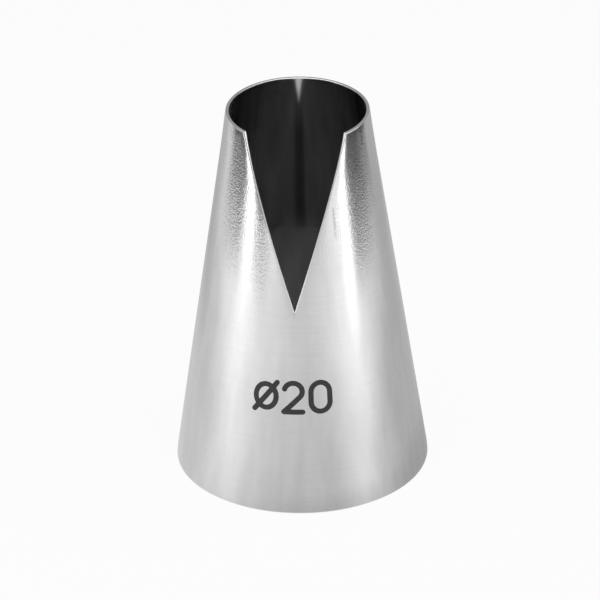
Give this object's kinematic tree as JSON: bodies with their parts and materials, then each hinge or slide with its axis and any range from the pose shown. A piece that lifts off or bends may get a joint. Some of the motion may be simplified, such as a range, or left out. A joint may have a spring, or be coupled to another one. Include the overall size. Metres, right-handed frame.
{
  "type": "piping nozzle",
  "caption": "Conical sheet-steel piping nozzle, open at both ends, with a long V notch cut down from its mouth for piping ridged, petal-like shapes.",
  "frame": {"origin": "centre of the base circle, on the plane the nozzle stands on", "axes": "+Z along the cone's axis from the wide base to the narrow mouth; the V notch faces -Y"},
  "size_m": [0.036, 0.036, 0.055],
  "materials": {
    "stainless_steel": "satin outside with fine marks round the cone, brighter on the cut edges, smooth inside"
  },
  "bodies": {
    "root": {"nozzle_cone": "stainless_steel"}
  },
  "joints": []
}
